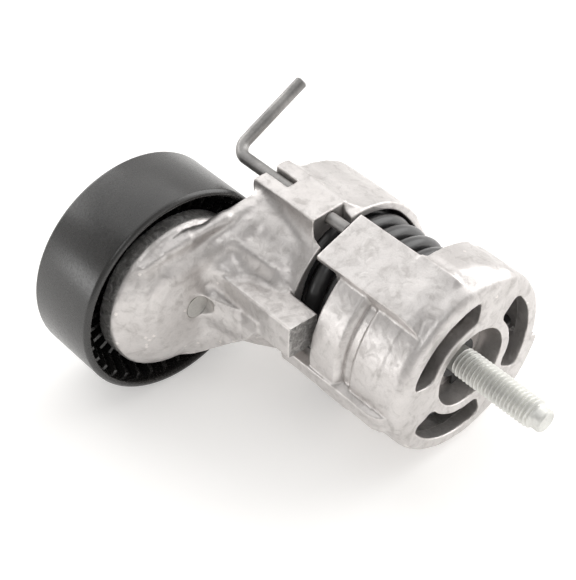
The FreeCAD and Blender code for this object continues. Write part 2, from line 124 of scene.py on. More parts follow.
def outline(u, v, pts):
    """Signed distance to a closed outline in two coordinates."""
    best, inside = None, None
    n = len(pts)
    for i in range(n):
        (x0, y0), (x1, y1) = pts[i], pts[(i + 1) % n]
        ex, ey = x1 - x0, y1 - y0
        ll = ex * ex + ey * ey
        if ll < 1e-12:
            continue
        wx, wy = u - x0, v - y0
        t = np.clip((wx * ex + wy * ey) / ll, 0, 1)
        d = (wx - ex * t) ** 2 + (wy - ey * t) ** 2
        best = d if best is None else np.minimum(best, d)
        if abs(ey) > 1e-12:
            c = ((y0 <= v) != (y1 <= v)) & (u < x0 + (v - y0) * (ex / ey))
            inside = c if inside is None else inside ^ c
    return (np.sqrt(best) * np.where(inside, -1.0, 1.0)).astype(np.float32)


def soft_min(a, b, k):
    h = np.maximum(k - np.abs(a - b), 0) / k
    return np.minimum(a, b) - h * h * (k * 0.25)


def soft_max(a, b, k):
    h = np.maximum(k - np.abs(a - b), 0) / k
    return np.maximum(a, b) + h * h * (k * 0.25)


def arc(cx, cy, r, a0, a1, n):
    return [(cx + r * math.cos(math.radians(a0 + (a1 - a0) * i / n)), cy + r * math.sin(math.radians(a0 + (a1 - a0) * i / n))) for i in range(n + 1)]


def net(F, lo, step):
    """Surface net of the zero level: one point per crossed cell, one quad per crossed grid edge."""
    F = np.where(np.abs(F) < 1e-5, 1e-5, F).astype(np.float32)
    s = F < 0
    nx, ny, nz = [k - 1 for k in F.shape]
    cnt = np.zeros((nx, ny, nz), np.int8)
    offs = [(i, j, k) for i in (0, 1) for j in (0, 1) for k in (0, 1)]
    for i, j, k in offs:
        cnt += s[i:i + nx, j:j + ny, k:k + nz]
    cells = np.argwhere((cnt > 0) & (cnt < 8))
    idx = np.full((nx, ny, nz), -1, np.int32)
    idx[cells[:, 0], cells[:, 1], cells[:, 2]] = np.arange(len(cells))
    acc = np.zeros((len(cells), 3))
    num = np.zeros(len(cells))
    vals = {o: F[cells[:, 0] + o[0], cells[:, 1] + o[1], cells[:, 2] + o[2]] for o in offs}
    for a in offs:
        for ax in range(3):
            if a[ax] == 1:
                continue
            b = list(a)
            b[ax] = 1
            fa, fb = vals[a], vals[tuple(b)]
            m = (fa < 0) != (fb < 0)
            t = np.where(m, fa / np.where(m, fa - fb, 1), 0)
            p = np.array(a, float)[None, :].repeat(len(cells), 0)
            p[:, ax] += t
            acc[m] += p[m]
            num += m
    verts = (cells + acc / num[:, None]) * step + lo
    quads = []
    for ax in range(3):
        o1, o2 = [(1, 2), (2, 0), (0, 1)][ax]
        sl0 = [slice(1, -1)] * 3
        sl0[ax] = slice(0, -1)
        sl1 = list(sl0)
        sl1[ax] = slice(1, None)
        a, b = s[tuple(sl0)], s[tuple(sl1)]
        e = np.argwhere(a != b)
        start = np.array([1, 1, 1])
        start[ax] = 0
        g = e + start
        flip = a[e[:, 0], e[:, 1], e[:, 2]]
        c = []
        for d1, d2 in ((0, 0), (-1, 0), (-1, -1), (0, -1)):
            h = g.copy()
            h[:, o1] += d1
            h[:, o2] += d2
            c.append(idx[h[:, 0], h[:, 1], h[:, 2]])
        q = np.stack(c, 1)
        q[~flip] = q[~flip][:, ::-1]
        quads.append(q)
    return verts, np.concatenate(quads)


def sample(F, lo, step, P):
    q = (P - lo) / step
    i = np.clip(q.astype(int), 0, np.array(F.shape) - 2)
    f = q - i
    out = 0
    for a in (0, 1):
        for b in (0, 1):
            for c in (0, 1):
                w = (f[:, 0] if a else 1 - f[:, 0]) * (f[:, 1] if b else 1 - f[:, 1]) * (f[:, 2] if c else 1 - f[:, 2])
                out = out + w * F[i[:, 0] + a, i[:, 1] + b, i[:, 2] + c]
    return out


def relax(verts, quads, rounds, k, F=None, lo=None, step=None):
    """Evens the net out and draws it back to the zero level."""
    n = len(verts)
    ed = np.concatenate([quads[:, [0, 1]], quads[:, [1, 2]], quads[:, [2, 3]], quads[:, [3, 0]]])
    deg = np.bincount(ed.ravel(), minlength=n).astype(float)
    for _ in range(rounds):
        s = np.stack([np.bincount(ed[:, 0], verts[ed[:, 1], c], n) + np.bincount(ed[:, 1], verts[ed[:, 0], c], n) for c in range(3)], 1)
        verts = verts + k * (s / deg[:, None] - verts)
        if F is not None:
            e = 0.5 * step
            g = np.stack([sample(F, lo, step, verts + d) - sample(F, lo, step, verts - d) for d in np.eye(3) * e], 1) / (2 * e)
            v = sample(F, lo, step, verts)
            m = np.clip((v / np.maximum((g * g).sum(1), 0.2)), -0.3, 0.3)
            verts = verts - 0.8 * m[:, None] * g
    return verts


def make(name, verts, faces, smooth=True):
    me = bpy.data.meshes.new(name)
    verts = np.asarray(verts, float) * MM
    if isinstance(faces, np.ndarray):
        me.vertices.add(len(verts))
        me.vertices.foreach_set("co", verts.astype(np.float32).ravel())
        k = faces.shape[1]
        me.loops.add(faces.size)
        me.loops.foreach_set("vertex_index", faces.astype(np.int32).ravel())
        me.polygons.add(len(faces))
        me.polygons.foreach_set("loop_start", np.arange(0, faces.size, k, dtype=np.int32))
        me.polygons.foreach_set("loop_total", np.full(len(faces), k, np.int32))
        me.update(calc_edges=True)
    else:
        me.from_pydata([tuple(v) for v in verts], [], faces)
    me.validate()
    me.update()
    ob = bpy.data.objects.new(name, me)
    bpy.context.scene.collection.objects.link(ob)
    if smooth:
        me.polygons.foreach_set("use_smooth", [True] * len(me.polygons))
    return ob


def cast_mesh(name, fld, F, rounds=2):
    v, q = net(F, fld.lo, fld.step)
    v = relax(v, q, rounds, 0.35, F, fld.lo, fld.step)
    return make(name, v, q)


def lathe(pts, n=128, cx=0.0, cz=0.0, y0=0.0, start=0.0):
    """Closed (radius, y) outline turned about Y as quads. Outline points are used in turn."""
    m = len(pts)
    verts, faces = [], []
    for i in range(n):
        a = 2 * PI * i / n + start
        for r, y in pts:
            verts.append((cx + r * math.cos(a), y0 + y, cz + r * math.sin(a)))
    for i in range(n):
        for j in range(m):
            a, b = i * m + j, i * m + (j + 1) % m
            c, d = ((i + 1) % n) * m + (j + 1) % m, ((i + 1) % n) * m + j
            faces.append((a, b, c, d))
    return verts, faces


def soften(pts, r, n=3, keep=()):
    """Rounds the corners of a closed outline."""
    out = []
    k = len(pts)
    for i, p in enumerate(pts):
        p = np.array(p, float)
        a, b = np.array(pts[i - 1], float), np.array(pts[(i + 1) % k], float)
        la, lb = np.linalg.norm(a - p), np.linalg.norm(b - p)
        rr = min(r, la * 0.45, lb * 0.45)
        if i in keep or rr < 1e-3:
            out.append(tuple(p))
            continue
        s, e = p + (a - p) / la * rr, p + (b - p) / lb * rr
        for t in np.linspace(0, 1, n + 1):
            out.append(tuple((1 - t) ** 2 * s + 2 * t * (1 - t) * p + t * t * e))
    return out


def fix_normals(ob):
    bm = bmesh.new()
    bm.from_mesh(ob.data)
    bmesh.ops.remove_doubles(bm, verts=bm.verts, dist=1e-7)
    bmesh.ops.recalc_face_normals(bm, faces=bm.faces)
    bm.to_mesh(ob.data)
    bm.free()
    ob.data.update()


def sharp(ob, deg=35.0):
    """Smooth shading with hard edges kept where the surface turns sharply."""
    me = ob.data
    me.polygons.foreach_set("use_smooth", [True] * len(me.polygons))
    bm = bmesh.new()
    bm.from_mesh(me)
    lim = math.radians(deg)
    for e in bm.edges:
        e.smooth = not (len(e.link_faces) == 2 and e.calc_face_angle(0.0) > lim)
    bm.to_mesh(me)
    bm.free()


def tube(path, rad, n=24, cap=0.35):
    """Round rod along a path with chamfered ends."""
    P = np.array(path, float)
    T = np.gradient(P, axis=0)
    T /= np.linalg.norm(T, axis=1)[:, None]
    up = np.array([0.31, 0.17, 0.93])
    N = np.cross(T[0], up)
    N /= np.linalg.norm(N)
    rings, verts, faces = [], [], []
    stations = []
    for i in range(len(P)):
        if i:
            N = N - T[i] * (N @ T[i])
            N /= np.linalg.norm(N)
        B = np.cross(T[i], N)
        if i == 0 and cap:
            stations.append((P[0], N, B, rad - cap))
            stations.append((P[0] + T[0] * cap, N, B, rad))
        elif i == len(P) - 1 and cap:
            stations.append((P[-1] - T[-1] * cap, N, B, rad))
            stations.append((P[-1], N, B, rad - cap))
        else:
            stations.append((P[i], N, B, rad))
    for c, N_, B_, r in stations:
        for k in range(n):
            a = 2 * PI * k / n
            verts.append(c + r * (math.cos(a) * N_ + math.sin(a) * B_))
    for i in range(len(stations) - 1):
        for k in range(n):
            a, b = i * n + k, i * n + (k + 1) % n
            faces.append((a, b, b + n, a + n))
    faces.append(tuple(range(n))[::-1])
    m = (len(stations) - 1) * n
    faces.append(tuple(range(m, m + n)))
    return verts, faces


# ---------------------------------------------------------------- materials
def new_mat(name):
    m = bpy.data.materials.new(name)
    m.use_nodes = True
    nt = m.node_tree
    bsdf = nt.nodes["Principled BSDF"]
    co = nt.nodes.new("ShaderNodeTexCoord")
    return m, nt, bsdf, co.outputs["Object"]


def noise(nt, co, scale, detail=4.0, rough=0.6, dist=0.0):
    n = nt.nodes.new("ShaderNodeTexNoise")
    n.inputs["Scale"].default_value = scale
    n.inputs["Detail"].default_value = detail
    n.inputs["Roughness"].default_value = rough
    n.inputs["Distortion"].default_value = dist
    nt.links.new(co, n.inputs["Vector"])
    return n.outputs["Fac"]


def ramp(nt, fac, stops):
    r = nt.nodes.new("ShaderNodeValToRGB")
    while len(r.color_ramp.elements) < len(stops):
        r.color_ramp.elements.new(0.5)
    for e, (p, c) in zip(r.color_ramp.elements, stops):
        e.position = p
        e.color = (c[0], c[1], c[2], 1) if not isinstance(c, float) else (c, c, c, 1)
    nt.links.new(fac, r.inputs["Fac"])
    return r.outputs["Color"]


def mix(nt, a, b, fac, kind="MIX"):
    m = nt.nodes.new("ShaderNodeMix")
    m.data_type = "RGBA"
    m.blend_type = kind
    if isinstance(fac, float):
        m.inputs["Factor"].default_value = fac
    else:
        nt.links.new(fac, m.inputs["Factor"])
    for sock, val in ((m.inputs[6], a), (m.inputs[7], b)):
        if isinstance(val, tuple):
            sock.default_value = (*val, 1)
        else:
            nt.links.new(val, sock)
    return m.outputs[2]


def remap(nt, v, a, b, c, d):
    m = nt.nodes.new("ShaderNodeMapRange")
    for k, x in zip(("From Min", "From Max", "To Min", "To Max"), (a, b, c, d)):
        m.inputs[k].default_value = x
    nt.links.new(v, m.inputs["Value"])
    return m.outputs["Result"]


def bump(nt, bsdf, layers):
    """layers of (height, distance in metres)"""
    last = None
    for h, d in layers:
        b = nt.nodes.new("ShaderNodeBump")
        b.inputs["Strength"].default_value = 1.0
        b.inputs["Distance"].default_value = d
        nt.links.new(h, b.inputs["Height"])
        if last is not None:
            nt.links.new(last, b.inputs["Normal"])
        last = b.outputs["Normal"]
    nt.links.new(last, bsdf.inputs["Normal"])


def cast_alu():
    m, nt, p, co = new_mat("cast_aluminium")
    big = noise(nt, co, 70.0, 3.0, 0.55, 0.4)
    mid = noise(nt, co, 260.0, 5.0, 0.62, 0.6)
    fine = noise(nt, co, 1500.0, 4.0, 0.65)
    col = ramp(nt, big, [(0.30, (0.565, 0.54, 0.525)), (0.50, (0.64, 0.615, 0.60)), (0.72, (0.70, 0.675, 0.66))])
    spots = ramp(nt, mid, [(0.34, (0.66, 0.65, 0.64)), (0.50, (1.0, 1.0, 1.0)), (0.70, (1.08, 1.07, 1.07))])
    col = mix(nt, col, spots, 0.55, "MULTIPLY")
    grain = ramp(nt, fine, [(0.30, 0.80), (0.55, 1.0)])
    col = mix(nt, col, grain, 0.35, "MULTIPLY")
    # painted light: Pointiness lightens convex edges as a painted highlight and darkens creases and hollows as painted
    # shade
    edge = nt.nodes.new("ShaderNodeNewGeometry").outputs["Pointiness"]
    col = mix(nt, col, ramp(nt, edge, [(0.440, (0.50, 0.48, 0.47)), (0.490, (1.0, 1.0, 1.0)), (0.515, (1.0, 1.0, 1.0)), (0.570, (1.28, 1.27, 1.26))]), 1.0, "MULTIPLY")
    nt.links.new(col, p.inputs["Base Color"])
    p.inputs["Metallic"].default_value = 0.88
    nt.links.new(remap(nt, mid, 0.3, 0.7, 0.46, 0.30), p.inputs["Roughness"])
    bump(nt, p, [(mid, 0.00014), (fine, 0.00006)])
    return m


def cast_rough_and_shaded():
    m, nt, p, co = new_mat("cast_aluminium_rough_and_shaded")
    mid = noise(nt, co, 420.0, 6.0, 0.7, 1.2)
    fine = noise(nt, co, 1800.0, 4.0, 0.7)
    # coarser as-cast texture, with a darker colour than the main casting that is partly painted shade
    col = ramp(nt, mid, [(0.32, (0.20, 0.195, 0.19)), (0.50, (0.42, 0.41, 0.40)), (0.66, (0.70, 0.69, 0.68))])
    nt.links.new(col, p.inputs["Base Color"])
    p.inputs["Metallic"].default_value = 0.8
    p.inputs["Roughness"].default_value = 0.5
    bump(nt, p, [(mid, 0.0004), (fine, 0.0001)])
    return m


def steel(name, lo, hi, rough, metal=1.0, scale=900.0, bump_d=0.00002):
    m, nt, p, co = new_mat(name)
    a = noise(nt, co, scale * 0.18, 3.0, 0.55)
    b = noise(nt, co, scale * 1.6, 4.0, 0.6)
    col = ramp(nt, a, [(0.32, lo), (0.68, hi)])
    col = mix(nt, col, ramp(nt, b, [(0.3, 0.82), (0.6, 1.0)]), 0.5, "MULTIPLY")
    nt.links.new(col, p.inputs["Base Color"])
    p.inputs["Metallic"].default_value = metal
    nt.links.new(remap(nt, b, 0.3, 0.7, rough + 0.07, rough - 0.05), p.inputs["Roughness"])
    bump(nt, p, [(b, bump_d)])
    return m


def plastic(name, col0, col1, rough, spec=0.5, coat=0.0, scale=1200.0, bump_d=0.00003):
    m, nt, p, co = new_mat(name)
    a = noise(nt, co, 110.0, 4.0, 0.6, 0.5)
    b = noise(nt, co, scale, 4.0, 0.6)
    nt.links.new(ramp(nt, a, [(0.35, col0), (0.7, col1)]), p.inputs["Base Color"])
    nt.links.new(remap(nt, b, 0.3, 0.7, rough + 0.05, rough - 0.05), p.inputs["Roughness"])
    p.inputs["Specular IOR Level"].default_value = spec
    p.inputs["Coat Weight"].default_value = coat
    bump(nt, p, [(b, bump_d)])
    return m


MAT = {
    "cast": cast_alu(),
    "rough": cast_rough_and_shaded(),
    "bolt": steel("zinc_bolt", (0.68, 0.68, 0.65), (0.82, 0.82, 0.78), 0.44, 0.65),
    "pin": steel("pin_steel", (0.24, 0.235, 0.23), (0.36, 0.35, 0.34), 0.42, 0.9, 700.0, 0.00005),
    "zinc": steel("zinc_steel", (0.52, 0.52, 0.50), (0.64, 0.63, 0.60), 0.38, 0.95),
    "ground": steel("ground_steel", (0.55, 0.55, 0.56), (0.66, 0.66, 0.67), 0.22, 1.0),
    "ball": steel("ball_steel", (0.70, 0.70, 0.72), (0.78, 0.78, 0.80), 0.10, 1.0, 600.0, 0.000005),
    "spring": plastic("spring_black", (0.022, 0.022, 0.023), (0.040, 0.039, 0.039), 0.33, 0.6, 0.15, 700.0, 0.00006),
    "pulley": plastic("pulley_black", (0.013, 0.0125, 0.012), (0.020, 0.019, 0.018), 0.27, 0.75, 0.0, 900.0, 0.00002),
    "cap": plastic("cap_black", (0.018, 0.018, 0.02), (0.028, 0.028, 0.03), 0.45, 0.4, 0.0, 1400.0, 0.00008),
    "clip": plastic("retainer_black", (0.02, 0.02, 0.02), (0.04, 0.04, 0.04), 0.5),
    "bush": plastic("bush_plastic", (0.08, 0.08, 0.08), (0.12, 0.12, 0.12), 0.55),
    "lining": plastic("lining_plastic", (0.13, 0.10, 0.075), (0.19, 0.15, 0.12), 0.75, 0.3, 0.0, 900.0, 0.00012),
    "seat": plastic("seat_plastic", (0.035, 0.035, 0.035), (0.06, 0.06, 0.06), 0.55),
    "cage": plastic("cage_plastic", (0.22, 0.17, 0.10), (0.28, 0.22, 0.14), 0.55),
    "seal": plastic("seal_rubber", (0.02, 0.02, 0.02), (0.035, 0.035, 0.035), 0.7, 0.3, 0.0, 1600.0, 0.0001),
}


def paint(ob, mat):
    ob.data.materials.clear()
    ob.data.materials.append(MAT[mat])


for node, mat in {
    "pivot_tube": "ground", "front_bush": "bush", "rear_bush": "bush", "friction_lining": "lining", "end_plate": "zinc",
    "spring_seat": "seat", "bearing_outer_ring": "ground", "bearing_inner_ring": "ground", "bearing_balls": "ball",
    "ball_cage": "cage", "front_seal": "seal", "rear_seal": "seal", "bearing_spacer": "zinc", "bolt_retainer": "clip",
    "pulley_screw": "zinc", "dust_cap": "cap",
}.items():
    nodes[node].data.materials.clear()
    nodes[node].data.materials.append(MAT[mat])

STEP = 0.40


# ---------------------------------------------------------------- base casting
def base_casting():
    g = Field((-38, -1.5, -37), (36, 51.5, 38), STEP)
    front = arc(28.2, 3.8, 3.8, -90, 0, 6)
    F = g.ring([(14.0, 0.0)] + front + [(32.0, 19.5), (28.5, 19.5), (28.5, 5.0), (17.0, 5.0), (16.6, 30.0), (9.5, 30.0), (9.5, 9.0), (13.7, 9.0)])
    skirt = g.ring([(29.4, 10.0), (32.0, 10.0), (32.0, 36.1), (29.4, 36.1)])
    band = g.ring(soften([(29.4, 23.6), (32.0, 23.6), (33.8, 25.2), (33.7, 36.1), (29.4, 36.1)], 0.35))
    wedge = g.sector(208.0, 90.0)
    S = soft_min(skirt, band, 0.5)
    S = soft_max(S, wedge, 0.8)
    F = soft_min(F, S, 0.5)
    # a shallow hollow runs round the drum just in front of the band
    F = soft_max(F, -soft_max(g.ring([(30.9, 20.5), (36.0, 19.4), (36.0, 24.4), (30.9, 23.5)]), g.sector(155.0, 34.0), 1.0), 0.6)
    # flat-topped catch lug; its nose drops to the rounded front edge
    u, v = g.turned(108.3)
    side = np.maximum(outline(g.y + 0 * u, u + 0 * g.y, soften([(2.4, 26.0), (46.0, 27.6), (46.0, 33.8), (11.6, 33.8), (8.6, 33.1), (6.2, 31.8), (3.8, 29.6)], 0.5)), np.abs(v - 2.6) - 9.7 + 0.05 * (u - 33.8))
    F = soft_min(F, side, 0.8)
    # in front of the drum's rear rim the lug's right side runs out into the drum
    ramp_ = g.prism([(-14.0, 28.0), (-7.5, 31.0), (-3.4, 33.9), (0.0, 34.1), (3.5, 33.4), (6.9, 32.4), (10.1, 31.1), (13.1, 29.5), (16.0, 27.7), (8.0, 25.0), (-14.0, 25.0)], 4.0, 19.3)
    F = soft_min(F, soft_max(ramp_, g.half((0, 5.6, 32.6), (0, -0.86, 0.5)), 3.0), 2.6)
    # long stop lug along the drum's flank
    stop = g.lug(soften([(3.6, 29.0), (49.5, 29.0), (49.5, 34.5), (9.5, 34.5), (6.2, 33.6), (4.2, 31.4)], 0.6), 192.6, 8.0, 0.10)
    F = soft_min(F, stop, 0.8)
    key = g.ring([(25.4, 0.0), (32.3, 0.0), (32.3, 7.0), (25.4, 7.0)])
    F = soft_min(F, soft_max(key, g.sector(-29.0, 17.0), 0.6), 0.5)
    # three curved slots with rounded ends
    for az in (6.0, 126.0, 246.0):
        cut = g.ring([(17.3, -2.0), (26.3, -2.0), (26.3, 8.0), (17.3, 8.0)])
        u, v = g.turned(az)
        h = math.radians(40.0)
        wedge = np.abs(v) * math.cos(h) - u * math.sin(h)
        F = soft_max(F, -soft_max(cut, wedge, 3.2), 0.35)
    # pin hole in the rear of the catch lug
    F = F + g.ripple(9.0, 0.05, 3) + g.ripple(3.2, 0.018, 4)
    pin = np.maximum(np.hypot(g.x + 8.5, g.z - 29.9) - 2.2, 43.6 - g.y)
    F = np.maximum(F, -pin)
    # room for the arm's stop block where it meets the two lugs
    for swing in (27.0, -7.0):
        c, w = math.cos(math.radians(swing)), math.sin(math.radians(swing))
        block = outline(g.x * c - g.z * w, g.x * w + g.z * c, [(-27.5, 0.7), (-41.0, 1.8), (-41.0, 13.9), (-27.5, 13.0)])
        F = np.maximum(F, -np.maximum(block - 0.22, 38.2 - g.y))
    # machined surfaces stay flat
    F = np.maximum(F, -g.y + 0 * g.x)
    ob = cast_mesh("base_casting", g, F)
    paint(ob, "cast")
    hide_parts("base_housing")
    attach(ob, "base")
    return ob


# ---------------------------------------------------------------- arm casting
def through(points, xs, zs):
    """Smooth surface y(x, z) through given points."""
    P = np.array(points, float)
    A, Y = P[:, [0, 1]], P[:, 2]

    def k(d2):
        return 0.5 * d2 * np.log(np.maximum(d2, 1e-9))
    d2 = ((A[:, None] - A[None]) ** 2).sum(2)
    n = len(P)
    M = np.zeros((n + 3, n + 3))
    M[:n, :n] = k(d2) + np.eye(n) * 2.0
    M[:n, n] = 1
    M[:n, n + 1:] = A
    M[n, :n] = 1
    M[n + 1:, :n] = A.T
    w = np.linalg.solve(M, np.concatenate([Y, [0, 0, 0]]))
    X, Z = np.meshgrid(xs, zs, indexing="ij")
    out = w[n] + w[n + 1] * X + w[n + 2] * Z
    for i in range(n):
        out += w[i] * k((X - A[i, 0]) ** 2 + (Z - A[i, 1]) ** 2)
    return out


def tangent_outline(c0, r0, c1, r1, n=28):
    """Outline round two circles, by their convex hull."""
    pts = []
    for c, r in ((c0, r0), (c1, r1)):
        for i in range(n):
            a = 2 * PI * i / n
            pts.append((c[0] + r * math.cos(a), c[1] + r * math.sin(a)))
    pts = sorted(set(pts))

    def half(seq):
        out = []
        for p in seq:
            while len(out) > 1 and (out[-1][0] - out[-2][0]) * (p[1] - out[-2][1]) - (out[-1][1] - out[-2][1]) * (p[0] - out[-2][0]) <= 0:
                out.pop()
            out.append(p)
        return out
    lo, hi = half(pts), half(pts[::-1])
    return lo[:-1] + hi[:-1]


WEB = [
    (-60, 3, 81.0), (-52, 14, 78.0), (-52, -9, 78.5), (-47, 3, 76.5), (-43, 3, 75.6), (-42.5, 10, 74.6), (-42.5, -6, 76.5),
    (-44, 18.3, 75.4), (-34, 20.5, 72.2), (-27, 24.0, 70.5), (-45, 27.5, 79.3), (-31, 28.5, 77.3), (-20, 29.5, 75.5),
    (-38, 15.5, 68.0), (-34.2, 14.5, 64.8), (-30.6, 14.0, 61.0), (-30.4, 13.8, 53.5), (-33, 2, 56.0), (-27, 12, 51.5), (-28, 2, 51.5),
    (-30, 20.5, 63.0), (-24.5, 18.5, 56.0), (-20, 24.0, 60.0), (-40, -3, 59.0), (-40.2, -10, 66.0), (-41.5, -16, 72.5), (-43, -22, 81.0),
    (-34, -20, 76.0), (-26, -20, 66.0), (-34, -8, 60.0), (-20, -24, 60.0), (-14, 0, 51.5),
]


def arm_casting():
    g = Field((-76, 29.5, -33), (33, 92, 36), STEP)
    cup = g.ring(soften([(29.5, 50.6), (29.5, 78.0), (11.6, 78.0), (11.6, 31.0), (15.0, 31.0), (15.0, 74.0), (26.7, 74.0), (26.7, 50.6)], 0.5, keep=(2, 3, 4))[:])
    F = cup
    # web: everything behind a smooth front surface, inside the outline round disc and cup
    yf = through(WEB, g.ax[0], g.ax[2])
    gx, gz = np.gradient(yf, STEP)
    slope = np.sqrt(1 + gx * gx + gz * gz)
    surf = ((yf[:, None, :] - g.y) / slope[:, None, :]).astype(np.float32)
    plan = outline(g.ax[0][:, None], g.ax[2][None, :], tangent_outline((ARM_X, ARM_Z), 26.6, (0.0, 0.0), 29.4))[:, None, :]
    left = (-g.x - 60.0) + 0 * g.z
    web = soft_max(soft_max(surf, plan + 0 * g.y, 3.0), np.maximum(g.y - 79.5, left) + 0 * g.z, 1.0)
    F = soft_min(F, web, 2.2)
    # domed disc
    dome = [(0, 73.5), (5.5, 73.5), (10, 73.9), (15, 75.0), (19, 76.6), (22.5, 78.7), (25.0, 80.6), (26.4, 81.7), (27.0, 82.9),
            (27.0, 88.0), (24.0, 88.0), (24.0, 83.7), (12.5, 82.8), (11.0, 90.2), (0, 90.2)]
    disc = g.ring(dome, ARM_X, ARM_Z)
    F = soft_min(F, disc, 2.4)
    # two long ridges that run from the dome to the hub
    F = soft_min(F, g.bead([(-61, 80.2, 23.0), (-54, 79.2, 25.6), (-45, 78.2, 27.0), (-31, 77.4, 27.9), (-19, 76.6, 28.2)], [0.3, 0.8, 1.1, 1.3, 1.2]), 3.0)
    F = soft_min(F, g.bead([(-60, 78.8, 14.5), (-54, 77.0, 17.5), (-43, 76.2, 18.6), (-34, 75.0, 20.7), (-26, 73.6, 24.2), (-15.5, 72.6, 24.8)], [0.3, 1.0, 1.5, 1.8, 2.0, 1.6]), 3.4)
    # below the stop block the web's left face runs straight down to the underside
    side = outline(g.y + 0 * g.z, g.z + 0 * g.y, [(53.0, 3.0), (55.0, 0.4), (61.0, -5.8), (74.0, -18.6), (80.0, -23.5), (80.0, 6.0), (53.0, 6.0)])
    side = np.maximum(np.maximum(side, -g.x - 40.0 - 0.3 * np.maximum(g.y - 60.0, 0.0)), np.maximum(g.x + 26.0, g.y - 79.5) + 0 * g.z)
    F = soft_min(F, soft_max(side, plan + 0 * g.y, 2.0), 4.5)
    # stop block
    blk = g.prism(soften([(-29.0, 0.8), (-40.0, 1.8), (-39.6, 13.8), (-28.0, 13.0)], 0.3), 38.5, 77.0)
    F = soft_min(F, blk, 1.6)
    # boss over the lock pin
    boss = g.prism(soften([(-15.6, 22), (-15.6, 32.9), (-1.6, 32.9), (1.8, 26)], 0.5), 54.4, 81.4)
    F = soft_min(F, boss, 4.5)
    back = g.prism([(-26, -20), (-12, -24), (-12, 28), (-26, 27)], 73.0, 79.5)
    F = soft_min(F, back, 0.8)
    # clearances
    F = np.maximum(F, -g.ring([(26.7, 28), (26.7, 74.0), (15.0, 74.0), (15.0, 28)]))
    F = np.maximum(F, -g.ring([(32.9, 81.6), (38.0, 81.6), (38.0, 95), (32.9, 95)], ARM_X, ARM_Z))
    F = np.maximum(F, -g.ring([(0, 28), (11.6, 28), (11.6, 96), (0, 96)]))
    F = np.maximum(F, -g.ring([(0, 78.0), (22.5, 78.0), (22.5, 96), (0, 96)]))
    F = np.maximum(F, -g.prism([(-10.7, 29.9), (-10.7, 36), (-6.3, 36), (-6.3, 29.9)], 71.5, 96))
    F = np.maximum(F, -g.prism([(-15.6, 20), (-15.6, 36), (-3.0, 36), (-3.0, 20)], 44, 54.5))
    F = np.maximum(F, -np.maximum(np.hypot(g.x - ARM_X, g.z - ARM_Z) - 4.05, 70.0 - g.y))
    F = F + g.ripple(11.0, 0.07, 13) + g.ripple(3.4, 0.02, 14)
    F = np.maximum(F, -np.maximum(np.hypot(g.x + 8.5, g.z - 29.9) - 2.2, 50.0 - g.y))
    ob = cast_mesh("arm_casting", g, F)
    paint(ob, "cast")
    # the as-cast front of the stop block and the disc's side wall are coarser, and their darker colour is partly
    # painted shade
    ob.data.materials.append(MAT["rough"])
    me = ob.data
    n = len(me.polygons)
    c = np.zeros(n * 3, np.float32)
    me.polygons.foreach_get("center", c)
    c = c.reshape(-1, 3) * 1000
    nn = np.zeros(n * 3, np.float32)
    me.polygons.foreach_get("normal", nn)
    nn = nn.reshape(-1, 3)
    r = np.hypot(c[:, 0] - ARM_X, c[:, 2] - ARM_Z)
    rough = (c[:, 1] < 39.3) & (nn[:, 1] < -0.7) & (c[:, 0] < -28)
    rough |= (r > 26.2) & (c[:, 1] > 83.0) & (c[:, 0] < -30)
    me.polygons.foreach_set("material_index", rough.astype(np.int32))
    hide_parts("tensioner_arm")
    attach(ob, "arm")
    return ob


# ---------------------------------------------------------------- bolt with a real thread
def bolt():
    n, pitch = 64, 1.5
    ys = np.concatenate([[-30.0, -29.4, -28.0, -26.8], np.arange(-26.6, 4.01, pitch / 12), [4.6]])
    verts, faces = [], []
    for y in ys:
        for k in range(n):
            a = 2 * PI * k / n
            if y <= -29.9:
                r = 3.3
            elif y <= -26.7:
                r = 3.85
            elif y > 4.2:
                r = 4.6
            else:
                ph = (y / pitch - k / n) % 1.0
                tri = abs(ph - 0.5) * 2
                prof = min(1.0, max(0.0, (tri - 0.10) / 0.72))
                lead = min(1.0, max(0.0, (y + 26.7) / 1.3))
                tail = min(1.0, max(0.0, (4.1 - y) / 1.2))
                top = 3.85 + (4.92 - 3.85) * lead
                r = min(4.08 + 0.84 * prof, top)
                r = r * tail + 4.6 * (1 - tail) if y > 2.9 else r
            verts.append((r * math.cos(a), y, r * math.sin(a)))
    for i in range(len(ys) - 1):
        for k in range(n):
            a, b = i * n + k, i * n + (k + 1) % n
            faces.append((a, b, b + n, a + n))
    faces.append(tuple(range(n)))
    ob = make("threaded_bolt", verts, faces)
    # the head and shank come from the frame's own shape
    me = nodes["mounting_bolt"].data.copy()
    bm = bmesh.new()
    bm.from_mesh(me)
    bmesh.ops.remove_doubles(bm, verts=bm.verts, dist=1e-6)
    gone = [f for f in bm.faces if f.calc_center_median().y < 0.0044]
    bmesh.ops.delete(bm, geom=gone, context="FACES")
    bm2 = bmesh.new()
    bm2.from_mesh(ob.data)
    bm.to_mesh(me)
    bm.free()
    bm2.from_mesh(me)
    bmesh.ops.recalc_face_normals(bm2, faces=bm2.faces)
    bm2.to_mesh(ob.data)
    bm2.free()
    sharp(ob, 38.0)
    paint(ob, "bolt")
    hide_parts("mounting_bolt")
    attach(ob, "bolt")


